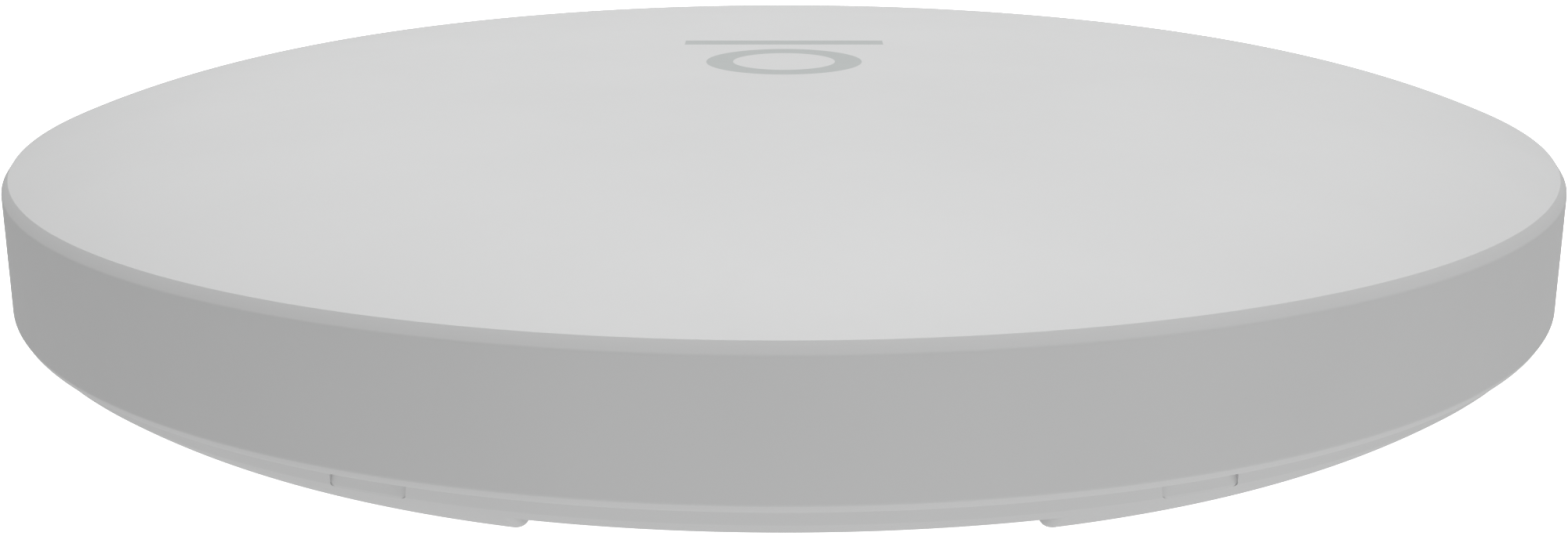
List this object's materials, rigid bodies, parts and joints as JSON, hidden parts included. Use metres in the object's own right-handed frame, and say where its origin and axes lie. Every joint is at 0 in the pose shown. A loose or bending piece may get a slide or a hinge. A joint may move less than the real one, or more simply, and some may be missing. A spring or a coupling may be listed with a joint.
{
  "type": "ceiling access point",
  "caption": "Round, domed ceiling access point with a rear port bay, a cable notch in the rim, bracket studs on the back and a recessed reset button.",
  "frame": {"origin": "centre of the rear rim plane, which rests on the ceiling", "axes": "+Z out through the domed face, away from the ceiling; -Y towards the cable notch and port bay"},
  "size_m": [0.22, 0.22, 0.037],
  "materials": {
    "cover_plastic": "fine matte moulded polycarbonate",
    "housing_plastic": "fine matte moulded plastic",
    "cast_aluminium": "as-cast satin",
    "board_laminate": "solder mask over glass laminate",
    "nickel_plate": "bright nickel plate",
    "socket_resin": "moulded matte",
    "contact_gold": "gold flash",
    "module_resin": "moulded matte",
    "chip_resin": "moulded matte",
    "thermal_silicone": "soft silicone",
    "crystal_can": "plated lid",
    "tin_plate": "tin plate",
    "antenna_sheet": "tin-plated sheet",
    "ferrite": "sintered ferrite",
    "capacitor_can": "drawn can",
    "led_resin": "cast resin",
    "clear_acrylic": "polished acrylic",
    "button_plastic": "moulded matte",
    "switch_resin": "moulded matte",
    "zinc_steel": "bright zinc plate",
    "stud_steel": "turned steel",
    "label_film": "matte polyester film"
  },
  "bodies": {
    "base": {"front_cover": "cover_plastic", "rear_housing": "housing_plastic", "heat_sink": "cast_aluminium", "main_board": "board_laminate", "jack_shields": "nickel_plate", "jack_bodies": "socket_resin", "jack_contacts": "contact_gold", "lan_transformers": "module_resin", "lan_chip": "chip_resin", "processor_chip": "chip_resin", "processor_pad": "thermal_silicone", "memory_chips": "chip_resin", "flash_chip": "chip_resin", "crystals": "crystal_can", "radio_chips": "chip_resin", "shield_cans": "tin_plate", "rf_modules": "chip_resin", "antennas_2g": "antenna_sheet", "antennas_5g": "antenna_sheet", "power_transformer": "module_resin", "power_inductor": "ferrite", "power_capacitors": "capacitor_can", "power_chip": "chip_resin", "status_led": "led_resin", "light_guide": "clear_acrylic", "reset_switch": "switch_resin", "board_screws": "zinc_steel", "chassis_screws": "zinc_steel", "mount_studs": "stud_steel", "rating_label": "label_film"},
    "reset_button": {"reset_cap": "button_plastic", "reset_plunger": "button_plastic"}
  },
  "joints": [
    {"name": "reset_press", "type": "slide", "parent": "base", "child": "reset_button", "axis": [0, 1, 0], "range_m": [0, 0.0008], "stiffness_N_per_m": 300, "springref_m": -0.002}
  ]
}
